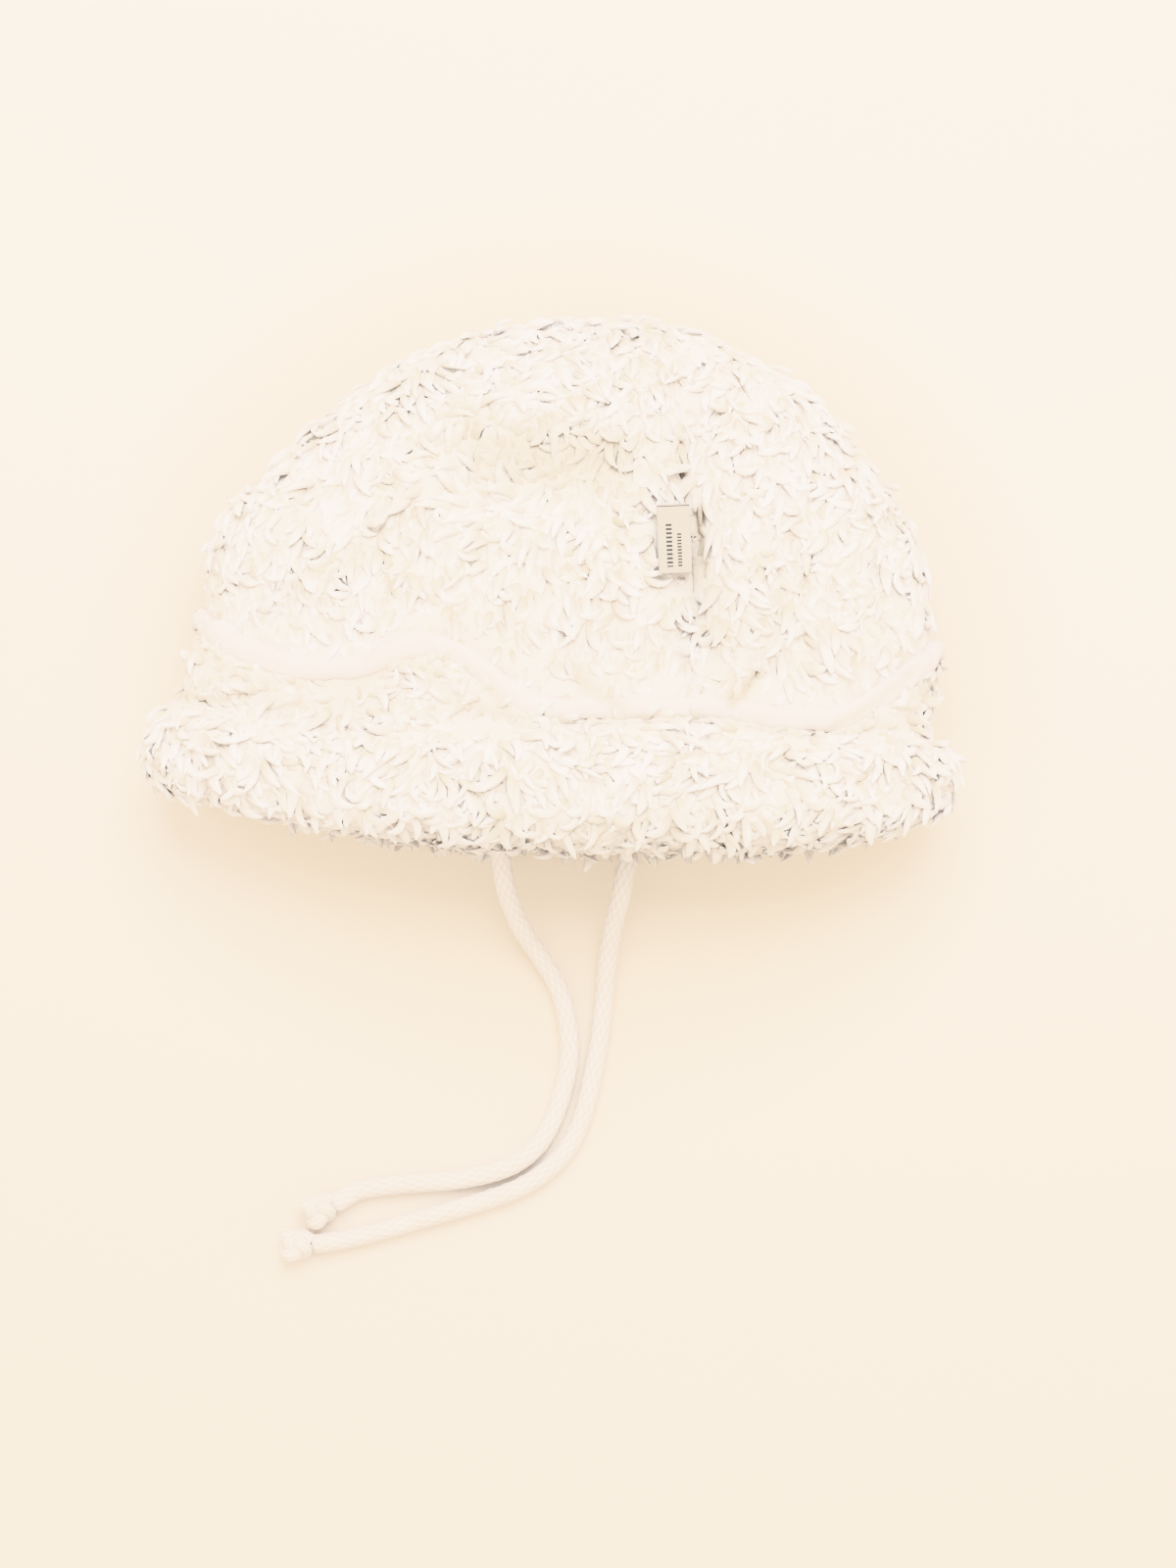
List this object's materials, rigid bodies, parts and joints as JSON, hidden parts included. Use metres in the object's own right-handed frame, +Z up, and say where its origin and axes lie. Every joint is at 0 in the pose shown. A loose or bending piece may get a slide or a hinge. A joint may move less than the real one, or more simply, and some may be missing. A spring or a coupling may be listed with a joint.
{
  "type": "baby nightcap",
  "caption": "Soft hollow baby nightcap in curly loop plush, lying on its side, with a padded turned-up brim, a bound edge, a seam label and knotted round chin ties.",
  "frame": {"origin": "on the table, midway under the cap's box without its ties", "axes": "+Z up from the table, +Y from the mouth to the crown's top, +X to the right across the mouth"},
  "size_m": [0.2411, 0.2817, 0.0672],
  "materials": {
    "plush": "curly cotton loop plush, matt",
    "jersey_binding": "fine knitted jersey tape",
    "woven_label": "smooth woven tape",
    "braided_cord": "soft braided cotton"
  },
  "bodies": {
    "root": {"crown_panel_left": "plush", "crown_panel_right": "plush", "brim": "plush", "binding": "jersey_binding", "label": "woven_label", "tie_left": "braided_cord", "tie_right": "braided_cord", "knot_left": "braided_cord", "knot_right": "braided_cord"}
  },
  "joints": []
}
